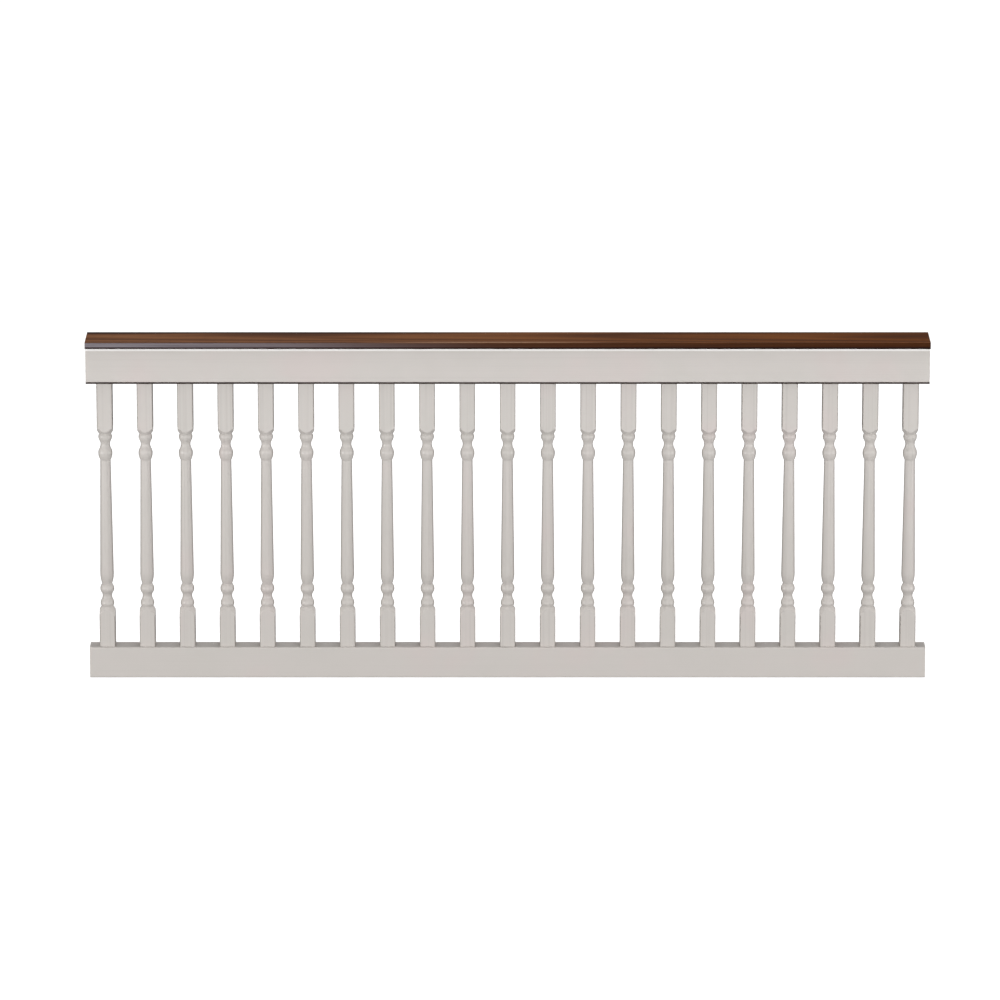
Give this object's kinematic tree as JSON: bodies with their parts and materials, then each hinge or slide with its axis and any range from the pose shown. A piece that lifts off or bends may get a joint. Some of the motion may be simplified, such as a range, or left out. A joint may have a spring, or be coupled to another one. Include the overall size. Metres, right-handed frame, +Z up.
{
  "type": "vinyl railing section",
  "caption": "Straight vinyl guard railing section: hollow box rails, a row of turned balusters set in routed holes, and a flat wood-grained cap board.",
  "frame": {"origin": "left end of the bottom rail, mid-depth, at its underside", "axes": "+X along the rails from the left end to the right, -Y the front that the picture shows, +Z up"},
  "size_m": [2.3876, 0.1396, 0.9906],
  "materials": {
    "vinyl_rail": "satin off-white vinyl extrusion",
    "vinyl_baluster": "satin off-white moulded vinyl",
    "walnut_cap": "satin walnut-brown wood grain",
    "dark_strip": "matt dark brown",
    "metal_channel": "mill finish"
  },
  "bodies": {
    "root": {"top_cap": "walnut_cap", "top_rail": "vinyl_rail", "top_stiffener": "metal_channel", "baluster_strip": "dark_strip", "bottom_rail": "vinyl_rail", "bottom_stiffener": "metal_channel", "baluster_01": "vinyl_baluster", "baluster_02": "vinyl_baluster", "baluster_03": "vinyl_baluster", "baluster_04": "vinyl_baluster", "baluster_05": "vinyl_baluster", "baluster_06": "vinyl_baluster", "baluster_07": "vinyl_baluster", "baluster_08": "vinyl_baluster", "baluster_09": "vinyl_baluster", "baluster_10": "vinyl_baluster", "baluster_11": "vinyl_baluster", "baluster_12": "vinyl_baluster", "baluster_13": "vinyl_baluster", "baluster_14": "vinyl_baluster", "baluster_15": "vinyl_baluster", "baluster_16": "vinyl_baluster", "baluster_17": "vinyl_baluster", "baluster_18": "vinyl_baluster", "baluster_19": "vinyl_baluster", "baluster_20": "vinyl_baluster", "baluster_21": "vinyl_baluster"}
  },
  "joints": []
}
